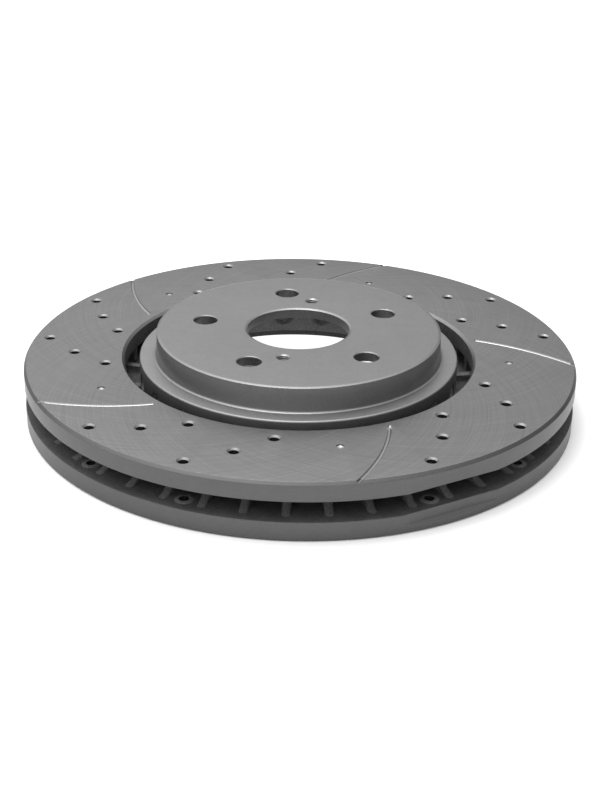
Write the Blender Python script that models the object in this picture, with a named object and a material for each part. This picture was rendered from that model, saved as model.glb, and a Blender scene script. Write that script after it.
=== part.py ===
"""Ventilated brake disc, drilled and slotted: one iron casting, modelled region by region.

The disc lies on its inboard friction face.  The origin is on the axis at that face,
+Z points to the wheel side (outboard).  Units are metres.
"""
import math

import bmesh
import bpy
from mathutils import Matrix, Vector

MM = 0.001

# Driving dimensions ---------------------------------------------------------
DISC_RADIUS = 164.0 * MM
DISC_THICKNESS = 34.0 * MM          # friction face to friction face
DISC_HEIGHT = 49.2 * MM             # inboard friction face to the wheel-side hat face
VENT_FLOOR = 11.2 * MM              # top of the inboard plate
VENT_ROOF = 23.0 * MM               # underside of the outboard plate
FACE_INNER_RADIUS = 105.8 * MM      # inner edge of both friction faces
PLATE_INNER_RADIUS = 104.3 * MM     # inner wall of the outboard plate
RIM_CHAMFER = 1.6 * MM
EDGE_CHAMFER = 1.0 * MM             # ground edges of the inboard friction face

HAT_TOP_RADIUS = 83.1 * MM          # flat wheel-side face
HAT_WALL_TOP_RADIUS = 84.6 * MM
HAT_EDGE_DROP = 0.6 * MM            # the outer edge break is wide but shallow too
HAT_WALL_BASE_RADIUS = 85.1 * MM
HAT_BASE_RADIUS = 86.7 * MM         # foot of the fillet on the flange
HAT_INNER_RADIUS = 78.0 * MM
HAT_PLATE_THICKNESS = 6.0 * MM
BORE_RADIUS = 30.5 * MM
BORE_CHAMFER = 1.4 * MM            # wide but shallow
BORE_CHAMFER_DEPTH = 0.4 * MM
BORE_UNDER_CHAMFER = 0.5 * MM
HAT_CORNER_DROP = 3.0 * MM          # the hat's inner corner is cut off by this height
HAT_CORNER_WIDTH = 4.0 * MM
HAT_WALL_DRAFT = 1.0 * MM           # the inner wall narrows by this much towards the plate

FLANGE_RADIUS = 95.2 * MM
FLANGE_EDGE_ROUND = 1.1 * MM
FLANGE_THICKNESS = 4.0 * MM
NECK_INNER_RADIUS = 86.6 * MM
NECK_CORNER = 2.5 * MM              # cut-off inner corner under the flange
NECK_RELIEF_INNER_DEPTH = 8.0 * MM
NECK_RELIEF_DEPTH = 5.0 * MM        # hub-side groove inside the inboard friction face

STUD_COUNT = 5
STUD_CIRCLE_RADIUS = 114.3 * MM / 2
STUD_HOLE_RADIUS = 7.1 * MM
STUD_START_ANGLE = 169.3            # degrees, anticlockwise from +X seen from above
JACK_CIRCLE_RADIUS = 44.5 * MM
JACK_HOLE_RADIUS = 3.5 * MM
JACK_COUNT = 2
JACK_START_ANGLE = 79.3

CHANNEL_COUNT = 44                  # cooling channels, and as many vanes
CHANNEL_PITCH = 360.0 / CHANNEL_COUNT
PATTERN_ANGLE = 223.3               # middle of channel 0
NECK_HOLE_COUNT = CHANNEL_COUNT // 2
NECK_HOLE_RADIUS = 5.0 * MM
NECK_HOLE_HEIGHT = 22.0 * MM

VANE_THICKNESS = 4.6 * MM
VANE_INNER_RADIUS = 107.6 * MM
VANE_FOOT_RADIUS = 158.8 * MM       # outer end, where the vane meets the plates
VANE_WAIST_RADIUS = 149.2 * MM      # outer end at half height
RIB_HEIGHT = 4.3 * MM               # low inner rib of every second vane
RIB_SLOPE = 1.0 * MM

DRILL_RADIUS = 2.75 * MM
DRILL_ROWS = (153.5 * MM, 134.5 * MM, 115.7 * MM)
DRILL_START_CHANNELS = (0, 3, 9, 12, 18, 21, 27, 30, 35, 38)
DIMPLE_CHANNELS = (7, 16, 25, 33, 42)
DIMPLE_CIRCLE_RADIUS = 125.2 * MM
DIMPLE_RADIUS = 2.3 * MM
DIMPLE_DEPTH = 1.3 * MM
DIMPLE_TIP = 0.3                    # width of the blunt tip against the mouth
SLOT_END_CHANNELS = (9, 18, 27, 35, 44)
SLOT_INNER_RADIUS = 110.5 * MM
SLOT_WIDTH = 2.4 * MM
SLOT_DEPTH = 1.0 * MM
SLOT_STEPS = 7
SLOT_CHANNELS_SPANNED = 2           # the outer end is this many channels behind the inner end

BALANCE_ANGLE = 300.1
BALANCE_HALF_ANGLE = 10.3
BALANCE_UPPER_TOP = 30.4 * MM
BALANCE_LOWER_FLAT = 5.4 * MM
BALANCE_LOWER_EDGE = 3.4 * MM

GAP = 0.3 * MM                      # between neighbouring solids
OVERSHOOT = 2.0 * MM                # how far a cutter stands past the metal
PLATE_SEGMENTS = 2 * CHANNEL_COUNT
HAT_SEGMENTS = 3 * NECK_HOLE_COUNT
SMOOTH_ANGLE = math.radians(30)
ROUND_SHARE = 0.3                   # where the one middle point of a small round lies
DRILL_SIDES = 10
SMALL_HOLE_SIDES = 12
STUD_SIDES = 16
DIMPLE_SIDES = 8

# Materials: name -> colour, metallic, roughness -------------------------------
FINISHES = {
    "coated_hat": ((0.33, 0.33, 0.33), 0.75, 0.48),
    "ground_face": ((0.36, 0.36, 0.36), 0.9, 0.36),
    "cast_iron": ((0.12, 0.12, 0.12), 0.6, 0.72),
}


def polar(radius, degrees, height=0.0):
    """A point at a radius, an angle in degrees and a height."""
    angle = math.radians(degrees)
    return Vector((radius * math.cos(angle), radius * math.sin(angle), height))


def remove_old_objects():
    """Empty the scene of whatever it starts with."""
    for old in list(bpy.data.objects):
        bpy.data.objects.remove(old, do_unlink=True)


def make_material(name):
    """A Principled material from the table of finishes."""
    colour, metallic, roughness = FINISHES[name]
    material = bpy.data.materials.new(name)
    material.use_nodes = True
    shader = material.node_tree.nodes["Principled BSDF"]
    shader.inputs["Base Color"].default_value = (*colour, 1.0)
    shader.inputs["Metallic"].default_value = metallic
    shader.inputs["Roughness"].default_value = roughness
    material.diffuse_color = (*colour, 1.0)
    return material


def add_object(name, mesh_data, material=None):
    """Turn a bmesh into a linked object with smooth round faces."""
    bmesh.ops.recalc_face_normals(mesh_data, faces=mesh_data.faces)
    mesh = bpy.data.meshes.new(name)
    mesh_data.to_mesh(mesh)
    mesh_data.free()
    mesh.shade_smooth()
    mesh.set_sharp_from_angle(angle=SMOOTH_ANGLE)
    thing = bpy.data.objects.new(name, mesh)
    bpy.context.scene.collection.objects.link(thing)
    if material is not None:
        mesh.materials.append(material)
    return thing


def turn_profile(mesh_data, outline, segments, start=0.0):
    """Revolve a closed outline of (radius, height) points about the Z axis."""
    rings = []
    for step in range(segments):
        degrees = start + step * 360.0 / segments
        rings.append([mesh_data.verts.new(polar(r, degrees, z)) for r, z in outline])
    for step, ring in enumerate(rings):
        following = rings[(step + 1) % segments]
        for index in range(len(outline)):
            after = (index + 1) % len(outline)
            mesh_data.faces.new((ring[index], ring[after], following[after], following[index]))


def turned_object(name, outline, segments, material, start=0.0):
    """A ring-shaped body turned from its outline."""
    mesh_data = bmesh.new()
    turn_profile(mesh_data, outline, segments, start)
    return add_object(name, mesh_data, material)


def add_prism(mesh_data, outline, along, length):
    """A prism from an outline of points, extruded by length in one direction."""
    shift = along.normalized() * length
    near = [mesh_data.verts.new(point) for point in outline]
    far = [mesh_data.verts.new(Vector(point) + shift) for point in outline]
    mesh_data.faces.new(near)
    mesh_data.faces.new(list(reversed(far)))
    for index in range(len(outline)):
        after = (index + 1) % len(outline)
        mesh_data.faces.new((near[after], near[index], far[index], far[after]))


def add_drill(mesh_data, radius, sides, start_point, direction, length):
    """A round cutter that starts at a point and runs along a direction."""
    direction = direction.normalized()
    turn = direction.to_track_quat("Z", "Y").to_matrix().to_4x4()
    middle = start_point + direction * length / 2
    bmesh.ops.create_cone(
        mesh_data,
        cap_ends=True,
        segments=sides,
        radius1=radius,
        radius2=radius,
        depth=length,
        matrix=Matrix.Translation(middle) @ turn,
    )


def cut(target, mesh_data, name):
    """Cut a group of separate cutters out of a body."""
    cutter = add_object(name, mesh_data)
    cutter.hide_render = True
    cutter.display_type = "WIRE"
    modifier = target.modifiers.new(name, "BOOLEAN")
    modifier.operation = "DIFFERENCE"
    modifier.solver = "EXACT"
    modifier.object = cutter


def channel_angle(channel):
    """The middle of a cooling channel, in degrees; vanes are at the half numbers."""
    return PATTERN_ANGLE + channel * CHANNEL_PITCH


def add_friction_drills(mesh_data, bottom, top):
    """The groups of three holes that step inward, one channel each."""
    for first in DRILL_START_CHANNELS:
        for step, radius in enumerate(DRILL_ROWS):
            foot = polar(radius, channel_angle(first + step), bottom - OVERSHOOT)
            height = top - bottom + 2 * OVERSHOOT
            add_drill(mesh_data, DRILL_RADIUS, DRILL_SIDES, foot, Vector((0, 0, 1)), height)


def add_slots(mesh_data):
    """Curved grooves that run from inside the face out through the rim's chamfer."""
    outer_radius = DISC_RADIUS + OVERSHOOT
    bottom = DISC_THICKNESS - SLOT_DEPTH
    top = DISC_THICKNESS + OVERSHOOT
    for end_channel in SLOT_END_CHANNELS:
        end_angle = channel_angle(end_channel)
        sections = []
        for step in range(SLOT_STEPS + 1):
            share = step / SLOT_STEPS
            radius = SLOT_INNER_RADIUS + share * (outer_radius - SLOT_INNER_RADIUS)
            degrees = end_angle - share * SLOT_CHANNELS_SPANNED * CHANNEL_PITCH
            half_width = math.degrees(SLOT_WIDTH / 2 / radius)
            sections.append([
                mesh_data.verts.new(polar(radius, degrees - half_width, bottom)),
                mesh_data.verts.new(polar(radius, degrees + half_width, bottom)),
                mesh_data.verts.new(polar(radius, degrees + half_width, top)),
                mesh_data.verts.new(polar(radius, degrees - half_width, top)),
            ])
        for near, far in zip(sections, sections[1:]):
            for index in range(4):
                after = (index + 1) % 4
                mesh_data.faces.new((near[index], near[after], far[after], far[index]))
        mesh_data.faces.new(list(reversed(sections[0])))
        mesh_data.faces.new(sections[-1])


def add_dimples(mesh_data):
    """Shallow blind wear marks, drilled with a blunt cone."""
    for channel in DIMPLE_CHANNELS:
        place = polar(DIMPLE_CIRCLE_RADIUS, channel_angle(channel), DISC_THICKNESS)
        bmesh.ops.create_cone(
            mesh_data,
            cap_ends=True,
            segments=DIMPLE_SIDES,
            radius1=DIMPLE_TIP * DIMPLE_RADIUS,
            radius2=(2 - DIMPLE_TIP) * DIMPLE_RADIUS,
            depth=2 * DIMPLE_DEPTH,
            matrix=Matrix.Translation(place),
        )


def add_balance_cut(mesh_data, section):
    """A flat milled across the rim, its section given as (distance from axis, height)."""
    outward = polar(1.0, BALANCE_ANGLE)
    sideways = Vector((0, 0, 1)).cross(outward)
    half_length = DISC_RADIUS
    outline = [outward * reach + Vector((0, 0, z)) - sideways * half_length for reach, z in section]
    add_prism(mesh_data, outline, sideways, 2 * half_length)


def build_outboard_plate(material):
    """The wheel-side friction ring."""
    outline = [
        (PLATE_INNER_RADIUS, VENT_ROOF),
        (PLATE_INNER_RADIUS, DISC_THICKNESS - (FACE_INNER_RADIUS - PLATE_INNER_RADIUS)),
        (FACE_INNER_RADIUS, DISC_THICKNESS),
        (DISC_RADIUS - RIM_CHAMFER, DISC_THICKNESS),
        (DISC_RADIUS, DISC_THICKNESS - RIM_CHAMFER),
        (DISC_RADIUS, VENT_ROOF),
    ]
    start = PATTERN_ANGLE + CHANNEL_PITCH / 4
    plate = turned_object("outboard_plate", outline, PLATE_SEGMENTS, material, start)
    holes = bmesh.new()
    add_friction_drills(holes, VENT_ROOF, DISC_THICKNESS)
    cut(plate, holes, "cutter_outboard_holes")
    grooves = bmesh.new()
    add_slots(grooves)
    add_dimples(grooves)
    cut(plate, grooves, "cutter_outboard_grooves")
    flat = bmesh.new()
    reach = DISC_RADIUS * math.cos(math.radians(BALANCE_HALF_ANGLE))
    far = DISC_RADIUS + OVERSHOOT
    add_balance_cut(flat, [
        (reach, VENT_ROOF - OVERSHOOT),
        (far, VENT_ROOF - OVERSHOOT),
        (far, BALANCE_UPPER_TOP),
        (reach, BALANCE_UPPER_TOP),
    ])
    cut(plate, flat, "cutter_outboard_balance")


def build_inboard_plate(material):
    """The hub-side friction ring, which carries the neck on its inner edge."""
    outline = [
        (NECK_INNER_RADIUS, VENT_FLOOR),
        (NECK_INNER_RADIUS, NECK_RELIEF_INNER_DEPTH),
        (PLATE_INNER_RADIUS - EDGE_CHAMFER, NECK_RELIEF_DEPTH),
        (PLATE_INNER_RADIUS, NECK_RELIEF_DEPTH - EDGE_CHAMFER),
        (PLATE_INNER_RADIUS, EDGE_CHAMFER),
        (PLATE_INNER_RADIUS + EDGE_CHAMFER, 0.0),
        (DISC_RADIUS - EDGE_CHAMFER, 0.0),
        (DISC_RADIUS, EDGE_CHAMFER),
        (DISC_RADIUS, VENT_FLOOR),
    ]
    start = PATTERN_ANGLE + CHANNEL_PITCH / 4
    plate = turned_object("inboard_plate", outline, PLATE_SEGMENTS, material, start)
    holes = bmesh.new()
    add_friction_drills(holes, 0.0, VENT_FLOOR)
    cut(plate, holes, "cutter_inboard_holes")
    flat = bmesh.new()
    reach = DISC_RADIUS * math.cos(math.radians(BALANCE_HALF_ANGLE))
    far = DISC_RADIUS + OVERSHOOT
    slope = (BALANCE_LOWER_FLAT - BALANCE_LOWER_EDGE) / (DISC_RADIUS - reach)
    add_balance_cut(flat, [
        (reach, BALANCE_LOWER_FLAT),
        (far, BALANCE_LOWER_FLAT - slope * (far - reach)),
        (far, VENT_FLOOR + OVERSHOOT),
        (reach, VENT_FLOOR + OVERSHOOT),
    ])
    cut(plate, flat, "cutter_inboard_balance")


def build_hat(material):
    """The bell: a flat plate with the bore and bolt holes, and a short side wall."""
    plate_bottom = DISC_HEIGHT - HAT_PLATE_THICKNESS
    fillet = HAT_BASE_RADIUS - HAT_WALL_BASE_RADIUS
    outline = [
        (BORE_RADIUS + BORE_CHAMFER, DISC_HEIGHT),
        (HAT_TOP_RADIUS, DISC_HEIGHT),
        (HAT_WALL_TOP_RADIUS, DISC_HEIGHT - HAT_EDGE_DROP),
        (HAT_WALL_BASE_RADIUS, DISC_THICKNESS + fillet),
        (HAT_WALL_BASE_RADIUS + ROUND_SHARE * fillet, DISC_THICKNESS + ROUND_SHARE * fillet),
        (HAT_BASE_RADIUS, DISC_THICKNESS),
        (HAT_INNER_RADIUS, DISC_THICKNESS),
        (HAT_INNER_RADIUS - HAT_WALL_DRAFT, plate_bottom - HAT_CORNER_DROP),
        (HAT_INNER_RADIUS - HAT_CORNER_WIDTH, plate_bottom),
        (BORE_RADIUS + BORE_UNDER_CHAMFER, plate_bottom),
        (BORE_RADIUS, plate_bottom + BORE_UNDER_CHAMFER),
        (BORE_RADIUS, DISC_HEIGHT - BORE_CHAMFER_DEPTH),
    ]
    hat = turned_object("hat", outline, HAT_SEGMENTS, material, STUD_START_ANGLE)
    foot_height = plate_bottom - OVERSHOOT
    depth = HAT_PLATE_THICKNESS + 2 * OVERSHOOT
    up = Vector((0, 0, 1))
    holes = bmesh.new()
    for index in range(STUD_COUNT):
        foot = polar(STUD_CIRCLE_RADIUS, STUD_START_ANGLE + index * 360.0 / STUD_COUNT, foot_height)
        add_drill(holes, STUD_HOLE_RADIUS, STUD_SIDES, foot, up, depth)
    for index in range(JACK_COUNT):
        foot = polar(JACK_CIRCLE_RADIUS, JACK_START_ANGLE + index * 360.0 / JACK_COUNT, foot_height)
        add_drill(holes, JACK_HOLE_RADIUS, SMALL_HOLE_SIDES, foot, up, depth)
    cut(hat, holes, "cutter_hat_holes")


def build_neck(material):
    """The flange and the drilled wall that join the hat to the inboard plate."""
    seat = DISC_THICKNESS - GAP
    underside = seat - FLANGE_THICKNESS
    edge = ROUND_SHARE * FLANGE_EDGE_ROUND
    outline = [
        (HAT_INNER_RADIUS, seat),
        (HAT_BASE_RADIUS + GAP, seat),
        (HAT_BASE_RADIUS + GAP, DISC_THICKNESS),
        (FLANGE_RADIUS - FLANGE_EDGE_ROUND, DISC_THICKNESS),
        (FLANGE_RADIUS - edge, DISC_THICKNESS - edge),
        (FLANGE_RADIUS, DISC_THICKNESS - FLANGE_EDGE_ROUND),
        (FLANGE_RADIUS, VENT_FLOOR + GAP),
        (NECK_INNER_RADIUS, VENT_FLOOR + GAP),
        (NECK_INNER_RADIUS, underside - NECK_CORNER),
        (NECK_INNER_RADIUS - NECK_CORNER, underside),
        (HAT_INNER_RADIUS, underside),
    ]
    first_hole = channel_angle(0.5)
    start = first_hole + 180.0 / HAT_SEGMENTS
    neck = turned_object("neck", outline, HAT_SEGMENTS, material, start)
    holes = bmesh.new()
    for index in range(NECK_HOLE_COUNT):
        degrees = first_hole + index * 360.0 / NECK_HOLE_COUNT
        inner = polar(NECK_INNER_RADIUS - OVERSHOOT, degrees, NECK_HOLE_HEIGHT)
        length = FLANGE_RADIUS - NECK_INNER_RADIUS + 2 * OVERSHOOT
        add_drill(holes, NECK_HOLE_RADIUS, SMALL_HOLE_SIDES, inner, polar(1.0, degrees), length)
    cut(neck, holes, "cutter_neck_holes")


def build_vane(number, material):
    """One vane between the plates; every second one has a low rib that reaches the neck."""
    bottom = VENT_FLOOR + GAP
    top = VENT_ROOF - GAP
    middle = (bottom + top) / 2
    swell = ROUND_SHARE * (top - bottom)
    outline = [
        (VANE_FOOT_RADIUS, bottom),
        ((VANE_FOOT_RADIUS + VANE_WAIST_RADIUS) / 2, middle - swell),
        (VANE_WAIST_RADIUS, middle),
        ((VANE_FOOT_RADIUS + VANE_WAIST_RADIUS) / 2, middle + swell),
        (VANE_FOOT_RADIUS, top),
        (VANE_INNER_RADIUS, top),
    ]
    if number % 2 == 0:
        rib_start = FLANGE_RADIUS + GAP
        outline += [
            (VANE_INNER_RADIUS - RIB_SLOPE, bottom + RIB_HEIGHT),
            (rib_start, bottom + RIB_HEIGHT),
            (rib_start, bottom),
        ]
    else:
        outline.append((VANE_INNER_RADIUS, bottom))
    mesh_data = bmesh.new()
    points = [Vector((radius, -VANE_THICKNESS / 2, height)) for radius, height in outline]
    add_prism(mesh_data, points, Vector((0, 1, 0)), VANE_THICKNESS)
    vane = add_object(f"vane_{number:02d}", mesh_data, material)
    vane.rotation_euler.z = math.radians(channel_angle(number - 0.5))


def main():
    """Build every region of the casting."""
    remove_old_objects()
    materials = {name: make_material(name) for name in FINISHES}
    build_hat(materials["coated_hat"])
    build_neck(materials["coated_hat"])
    build_outboard_plate(materials["ground_face"])
    build_inboard_plate(materials["ground_face"])
    for number in range(1, CHANNEL_COUNT + 1):
        build_vane(number, materials["cast_iron"])
    bpy.context.view_layer.update()


main()
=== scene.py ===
# %% [markdown]
# # A ventilated brake disc, drilled and slotted
# The real part is one iron casting: a bell-shaped hat that bolts to the hub, a neck wall below it,
# and two friction rings held apart by cooling vanes.  It is cast with a sand core, then turned, drilled,
# slotted, milled for balance and coated, and its faces are ground last.  This lesson works much the
# same way: each region starts as a turned or cast body, every machined feature is then cut into it
# with a tool of the real shape, and each face gets its finish at the end.

# %% Load the fixed frame
import math

import bmesh
import bpy
from mathutils import Matrix, Vector, noise


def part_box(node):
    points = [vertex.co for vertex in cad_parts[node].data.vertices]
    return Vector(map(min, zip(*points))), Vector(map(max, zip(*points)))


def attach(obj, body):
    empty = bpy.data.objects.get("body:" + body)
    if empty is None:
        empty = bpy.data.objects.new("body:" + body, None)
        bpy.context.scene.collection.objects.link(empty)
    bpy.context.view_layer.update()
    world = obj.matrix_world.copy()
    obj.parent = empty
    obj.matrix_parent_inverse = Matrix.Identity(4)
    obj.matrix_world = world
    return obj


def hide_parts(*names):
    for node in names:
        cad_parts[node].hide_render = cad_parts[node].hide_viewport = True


MM = 0.001

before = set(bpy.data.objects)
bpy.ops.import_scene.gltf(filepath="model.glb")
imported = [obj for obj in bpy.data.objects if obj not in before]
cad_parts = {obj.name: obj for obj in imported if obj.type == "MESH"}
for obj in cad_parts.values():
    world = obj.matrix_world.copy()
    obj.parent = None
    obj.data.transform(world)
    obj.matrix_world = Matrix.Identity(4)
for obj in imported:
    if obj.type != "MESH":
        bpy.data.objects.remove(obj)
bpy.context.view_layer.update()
print("regions in the frame:", len(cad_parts))

# %% [markdown]
# ## Driving dimensions
# The frame already holds the sizes that everything else hangs on, so they are read from the boxes of
# its regions and not typed again.  Only what a box can't say is a number here: edge breaks, hole
# patterns and the shapes of castings.  The disc lies flat with its axis on Z, so a box gives radii too.

# %% Read the main sizes
def box_top(node):
    """The highest point of a region, rounded to a hundredth of a millimetre."""
    return round(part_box(node)[1].z, 5)


def box_bottom(node):
    """The lowest point of a region."""
    return round(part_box(node)[0].z, 5)


def box_radius(node):
    """The outer radius of a round region that is centred on the axis."""
    low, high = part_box(node)
    return round(max(high.x, high.y, -low.x, -low.y), 4)


DISC_RADIUS = box_radius("outboard_plate")
FLANGE_RADIUS = box_radius("neck")
HAT_FOOT_RADIUS = box_radius("hat")
DISC_HEIGHT = box_top("hat")
FACE_HEIGHT = box_top("outboard_plate")
VENT_ROOF = box_bottom("outboard_plate")
VENT_FLOOR = box_top("inboard_plate")
print("disc radius", DISC_RADIUS, "flange radius", FLANGE_RADIUS, "hat foot radius", HAT_FOOT_RADIUS)
print("heights: hat", DISC_HEIGHT, "face", FACE_HEIGHT, "vent", VENT_FLOOR, "to", VENT_ROOF)

# %% [markdown]
# ## The pattern that ties the holes to the vanes
# A drill that met a vane would break out sideways, so the makers place every hole in the middle of a
# cooling channel.  One number, the angle of channel 0, and the count of 44 channels then place all the
# holes, slots, dimples and vanes.

# %% Angles of the channels
CHANNEL_COUNT = 44
CHANNEL_PITCH = 360.0 / CHANNEL_COUNT
PATTERN_ANGLE = 223.3


def channel_angle(channel):
    """The middle of a cooling channel in degrees; vanes stand at the half numbers."""
    return PATTERN_ANGLE + channel * CHANNEL_PITCH


def polar(radius, degrees, height=0.0):
    """A point from its radius, its angle seen from above and its height."""
    angle = math.radians(degrees)
    return Vector((radius * math.cos(angle), radius * math.sin(angle), height))


print("one channel is", round(CHANNEL_PITCH, 3), "degrees wide")

# %% [markdown]
# ## Rounded outlines
# No edge of a real casting is perfectly sharp, and the small rounds and edge breaks are what catches
# the light.  An outline is written as corners, each with the radius of its round, and one function
# puts the arcs in.  A Bevel modifier could do this too, but on an outline each corner keeps its own size.

# %% Turn corners into arcs
ARC_STEPS = 5


def rounded(corners, steps=ARC_STEPS):
    """A closed outline from corners of (x, y, round); a round of 0 stays sharp."""
    outline = []
    for index, (x, y, size) in enumerate(corners):
        corner = Vector((x, y))
        if size == 0:
            outline.append(corner)
            continue
        before = Vector(corners[index - 1][:2]) - corner
        after = Vector(corners[(index + 1) % len(corners)][:2]) - corner
        half_angle = before.angle(after) / 2
        back = size / math.tan(half_angle)
        middle = (before.normalized() + after.normalized()).normalized()
        centre = corner + middle * size / math.sin(half_angle)
        first = corner + before.normalized() * back - centre
        last = corner + after.normalized() * back - centre
        for step in range(steps + 1):
            outline.append(centre + first.slerp(last, step / steps).normalized() * size)
    return outline


sample_square = [(0, 0, 0.1), (1, 0, 0), (1, 1, 0), (0, 1, 0)]
print("a square with one round corner has", len(rounded(sample_square)), "points")

# %% [markdown]
# ## Turning a body
# Hat, neck and rings are bodies of revolution, so they are made as on a lathe: an outline of radius
# and height goes once round the axis.  The number of steps is a multiple of 44, so that each channel
# gets the same facets.  Faces are smooth, with sharp edges only where the outline really turns.

# %% Bodies of revolution
RING_SIDES = 8 * CHANNEL_COUNT
SHARP_ANGLE = math.radians(28)
ALL_PIECES = []


def make_piece(name, mesh_data):
    """A linked object from mesh data, with its faces turned outward."""
    bmesh.ops.recalc_face_normals(mesh_data, faces=mesh_data.faces)
    mesh = bpy.data.meshes.new(name)
    mesh_data.to_mesh(mesh)
    mesh_data.free()
    piece = bpy.data.objects.new(name, mesh)
    bpy.context.scene.collection.objects.link(piece)
    return piece


def turned(name, corners):
    """A ring-shaped body turned about the axis from the corners of its section."""
    outline = rounded(corners)
    mesh_data = bmesh.new()
    rings = []
    for step in range(RING_SIDES):
        degrees = PATTERN_ANGLE + step * 360.0 / RING_SIDES
        rings.append([mesh_data.verts.new(polar(radius, degrees, height)) for radius, height in outline])
    for step, ring in enumerate(rings):
        following = rings[(step + 1) % RING_SIDES]
        for index in range(len(outline)):
            after = (index + 1) % len(outline)
            mesh_data.faces.new((ring[index], ring[after], following[after], following[index]))
    return make_piece(name, mesh_data)


# %% [markdown]
# ## Tools that cut
# Drills, countersinks and slot cutters are solids with the shape of the real tool.  Each one is a
# stack of loops with the same number of points, closed at both ends: circles of changing radius make
# a drill with its countersink, and long rounded loops make a slot.  The EXACT Boolean then takes the
# tool's shape out of the metal, as machining does, and its result stays one closed body.

# %% Stacked loops, drills and the cut itself
DRILL_SIDES = 32
CLEARANCE = 1.0 * MM


def stack_loops(mesh_data, loops):
    """A closed body through loops of points that all have the same count."""
    layers = [[mesh_data.verts.new(point) for point in loop] for loop in loops]
    for lower, upper in zip(layers, layers[1:]):
        for index in range(len(lower)):
            after = (index + 1) % len(lower)
            mesh_data.faces.new((lower[index], lower[after], upper[after], upper[index]))
    mesh_data.faces.new(list(reversed(layers[0])))
    mesh_data.faces.new(layers[-1])


def add_drill(mesh_data, foot, direction, profile, sides=DRILL_SIDES):
    """A round tool from foot along direction; profile lists (distance, radius)."""
    turn = direction.to_track_quat("Z", "Y").to_matrix()
    loops = []
    for distance, radius in profile:
        circle = [polar(radius, index * 360.0 / sides, distance) for index in range(sides)]
        loops.append([foot + turn @ point for point in circle])
    stack_loops(mesh_data, loops)


def machine(piece, tool_data, operation="DIFFERENCE"):
    """Cut tools out of a piece, or add bosses to it, and keep the finished mesh."""
    tool = make_piece("tool", tool_data)
    modifier = piece.modifiers.new("machining", "BOOLEAN")
    modifier.operation = operation
    modifier.solver = "EXACT"
    modifier.object = tool
    graph = bpy.context.evaluated_depsgraph_get()
    result = bpy.data.meshes.new_from_object(piece.evaluated_get(graph))
    piece.modifiers.clear()
    piece.data = result
    bpy.data.objects.remove(tool)
    print(piece.name, "now has", len(result.polygons), "faces")


UP = Vector((0, 0, 1))

# %% [markdown]
# ## Small helpers for the finishes
# A finish is a network of nodes.  Building one by hand takes a line for the node, one for each value
# and one for each link, so a single helper does all three.  Values that are the same all over the
# surface are set straight on the shader's own sockets.

# %% Nodes in one call
NOISE_ROUGHNESS = 0.55     # how much the finer octaves of a noise count
NOISE_MIDDLE = 0.5         # a noise of this kind stays close to its middle
NOISE_SPREAD = 0.25


def put(tree, kind, sockets=None, **settings):
    """Add a node, set its options, and fill its sockets with values or links."""
    made = tree.nodes.new("ShaderNode" + kind)
    for option, value in settings.items():
        setattr(made, option, value)
    for socket, value in (sockets or {}).items():
        if isinstance(value, bpy.types.NodeSocket):
            tree.links.new(value, made.inputs[socket])
        else:
            made.inputs[socket].default_value = value
    return made


def speckle(tree, vector, size, detail=2.0):
    """Noise from 0 to 1 whose grains are about one size, in metres."""
    made = put(tree, "TexNoise", {
        "Vector": vector,
        "Scale": 1.0 / size,
        "Detail": detail,
        "Roughness": NOISE_ROUGHNESS,
    })
    return made.outputs["Fac"]


def remap(tree, value, low, high):
    """Stretch noise about its middle to run from low to high."""
    made = put(tree, "MapRange", {
        "Value": value,
        "From Min": NOISE_MIDDLE - NOISE_SPREAD,
        "From Max": NOISE_MIDDLE + NOISE_SPREAD,
        "To Min": low,
        "To Max": high,
    })
    return made.outputs["Result"]


def vary(tree, value, amount):
    """Stretch noise to run from 1 - amount to 1 + amount, to multiply something by."""
    return remap(tree, value, 1 - amount, 1 + amount)


def times(tree, first, second):
    """The product of two values."""
    return put(tree, "Math", {0: first, 1: second}, operation="MULTIPLY").outputs["Value"]


def plus(tree, first, second):
    """The sum of two values."""
    return put(tree, "Math", {0: first, 1: second}, operation="ADD").outputs["Value"]


def grey(tree, value):
    """A neutral colour from a brightness."""
    return put(tree, "CombineColor", {"Red": value, "Green": value, "Blue": value}).outputs["Color"]


def start_finish(name, metallic, specular):
    """A new material: its tree, its Principled shader and the place on the part in metres."""
    material = bpy.data.materials.new(name)
    material.use_nodes = True
    tree = material.node_tree
    shader = tree.nodes["Principled BSDF"]
    shader.inputs["Metallic"].default_value = metallic
    shader.inputs["Specular IOR Level"].default_value = specular
    place = put(tree, "TexCoord").outputs["Object"]
    return material, tree, shader, place


def join_finish(tree, shader, brightness, roughness, height, depth):
    """Link brightness, roughness and surface relief to the shader."""
    bump = put(tree, "Bump", {"Height": height, "Distance": depth, "Strength": 1.0})
    tree.links.new(grey(tree, brightness), shader.inputs["Base Color"])
    tree.links.new(roughness, shader.inputs["Roughness"])
    tree.links.new(bump.outputs["Normal"], shader.inputs["Normal"])


# %% [markdown]
# ## The ground friction face
# Pads run on a face that was ground with a cup wheel.  The wheel leaves fine arcs that lean one way on
# its way in and the other way on its way out, so the face shows a cross hatch in faint fans.  A flat
# noise would look like sand.  Here noise is read round the axis, at an angle that turns as the radius
# grows, which draws it out into leaning arcs; two sets with opposite lean cross each other.

# %% Where a point lies round the axis
def round_the_axis(tree, place):
    """Radius, bearing (a direction of length 1) and height of a point on the part."""
    parts = put(tree, "SeparateXYZ", {"Vector": place})
    flat = put(tree, "CombineXYZ", {"X": parts.outputs["X"], "Y": parts.outputs["Y"]}).outputs["Vector"]
    radius = put(tree, "VectorMath", {0: flat}, operation="LENGTH").outputs["Value"]
    bearing = put(tree, "VectorMath", {0: flat}, operation="NORMALIZE").outputs["Vector"]
    return radius, bearing, parts.outputs["Z"]


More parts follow.
